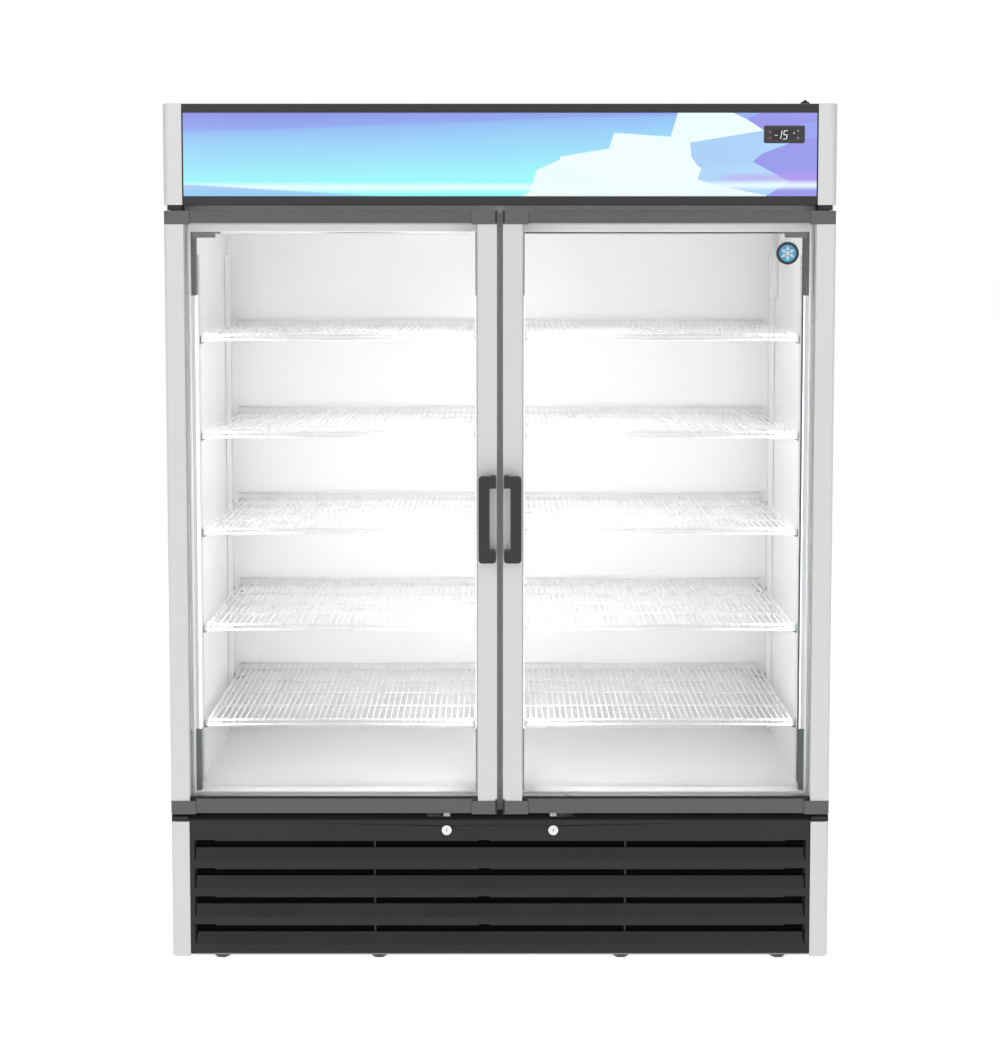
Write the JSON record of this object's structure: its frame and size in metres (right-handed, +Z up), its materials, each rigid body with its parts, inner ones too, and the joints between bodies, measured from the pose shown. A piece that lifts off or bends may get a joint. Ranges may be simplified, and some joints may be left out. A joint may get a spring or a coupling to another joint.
{
  "type": "glass door merchandiser",
  "caption": "Upright display refrigerator with hinged glass doors, wire shelves, a backlit header and a louvred base that hides the refrigeration unit",
  "frame": {"origin": "middle of the footprint, at floor level under the levelling feet", "axes": "+Z up, -Y out of the doors toward the customer, +X to the right of someone facing the doors"},
  "size_m": [1.54, 0.784, 2.003],
  "materials": {
    "cabinet_skin": "satin",
    "foam": "matte",
    "liner_white": "satin",
    "frame_light": "satin",
    "mullion_grey": "satin",
    "silver_trim": "satin",
    "header_dark": "satin",
    "sign_face": "gloss",
    "led_strip": "gloss",
    "display_black": "gloss",
    "display_screen": "gloss",
    "button_grey": "matte",
    "hinge_black": "satin",
    "pilaster_steel": "satin",
    "clip_dark": "matte",
    "light_housing": "satin",
    "light_lens": "gloss",
    "tray_steel": "satin",
    "grille_dark": "satin",
    "foot_steel": "satin",
    "compressor_black": "satin",
    "coil_metal": "satin",
    "fan_plastic": "matte",
    "cover_white": "satin",
    "lock_chrome": "polished",
    "plug_metal": "polished",
    "cam_steel": "satin",
    "wire_white": "gloss",
    "door_dark": "satin",
    "corner_dark": "satin",
    "door_glass": "polished",
    "gasket_rubber": "matte",
    "handle_black": "satin"
  },
  "bodies": {
    "cabinet": {"side_panels": "cabinet_skin", "back_panel": "cabinet_skin", "top_panel": "cabinet_skin", "insulation": "foam", "liner": "liner_white", "face_frame": "frame_light", "mullion": "mullion_grey", "header_caps": "silver_trim", "sign_frame": "header_dark", "sign_panel": "sign_face", "sign_light": "led_strip", "display_housing": "display_black", "display_window": "display_screen", "hinge_brackets": "hinge_black", "pilasters": "pilaster_steel", "shelf_clips": "clip_dark", "light_bars": "light_housing", "light_lenses": "light_lens", "base_tray": "tray_steel", "lower_covers": "silver_trim", "grille": "grille_dark", "feet": "foot_steel", "compressor": "compressor_black", "condenser": "coil_metal", "evaporator_coil": "coil_metal", "evaporator_cover": "cover_white", "lock_bodies": "lock_chrome", "shelf_left_1": "wire_white", "shelf_left_2": "wire_white", "shelf_left_3": "wire_white", "shelf_left_4": "wire_white", "shelf_left_5": "wire_white", "shelf_right_1": "wire_white", "shelf_right_2": "wire_white", "shelf_right_3": "wire_white", "shelf_right_4": "wire_white", "shelf_right_5": "wire_white"},
    "door_left": {"door_left_stiles": "silver_trim", "door_left_rails": "door_dark", "door_left_corners": "corner_dark", "door_left_glass": "door_glass", "door_left_gasket": "gasket_rubber", "door_left_handle": "handle_black", "door_left_strike": "cam_steel"},
    "door_right": {"door_right_stiles": "silver_trim", "door_right_rails": "door_dark", "door_right_corners": "corner_dark", "door_right_glass": "door_glass", "door_right_gasket": "gasket_rubber", "door_right_handle": "handle_black", "door_right_strike": "cam_steel"},
    "lock_left": {"lock_plug_left": "plug_metal", "lock_cam_left": "cam_steel"},
    "lock_right": {"lock_plug_right": "plug_metal", "lock_cam_right": "cam_steel"},
    "button_up": {"button_up": "button_grey"},
    "button_down": {"button_down": "button_grey"},
    "condenser_fan": {"condenser_fan": "fan_plastic"},
    "evap_fan_left": {"evap_fan_left": "fan_plastic"},
    "evap_fan_right": {"evap_fan_right": "fan_plastic"}
  },
  "joints": [
    {"name": "left_door_hinge", "type": "hinge", "parent": "cabinet", "child": "door_left", "pos_m": [-0.752, -0.33, 1.05], "axis": [0, 0, -1], "range_deg": [0, 110], "stiffness_Nm_per_rad": 3, "springref_deg": -8.59},
    {"name": "right_door_hinge", "type": "hinge", "parent": "cabinet", "child": "door_right", "pos_m": [0.752, -0.33, 1.05], "axis": [0, 0, 1], "range_deg": [0, 110], "stiffness_Nm_per_rad": 3, "springref_deg": -8.59},
    {"name": "left_lock_turn", "type": "hinge", "parent": "cabinet", "child": "lock_left", "pos_m": [-0.1245, -0.345, 0.309], "axis": [0, 1, 0], "range_deg": [0, 90]},
    {"name": "right_lock_turn", "type": "hinge", "parent": "cabinet", "child": "lock_right", "pos_m": [0.1245, -0.345, 0.309], "axis": [0, -1, 0], "range_deg": [0, 90]},
    {"name": "up_button_press", "type": "slide", "parent": "cabinet", "child": "button_up", "axis": [0, 1, 0], "range_m": [0, 0.001], "stiffness_N_per_m": 400, "springref_m": -0.0005},
    {"name": "down_button_press", "type": "slide", "parent": "cabinet", "child": "button_down", "axis": [0, 1, 0], "range_m": [0, 0.001], "stiffness_N_per_m": 400, "springref_m": -0.0005},
    {"name": "left_evaporator_fan_spin", "type": "hinge", "parent": "cabinet", "child": "evap_fan_left", "pos_m": [-0.34, -0.09, 1.728], "axis": [0, 0, 1], "continuous": true},
    {"name": "right_evaporator_fan_spin", "type": "hinge", "parent": "cabinet", "child": "evap_fan_right", "pos_m": [0.34, -0.09, 1.728], "axis": [0, 0, 1], "continuous": true},
    {"name": "condenser_fan_spin", "type": "hinge", "parent": "cabinet", "child": "condenser_fan", "pos_m": [0, -0.18, 0.18], "axis": [0, 1, 0], "continuous": true}
  ]
}
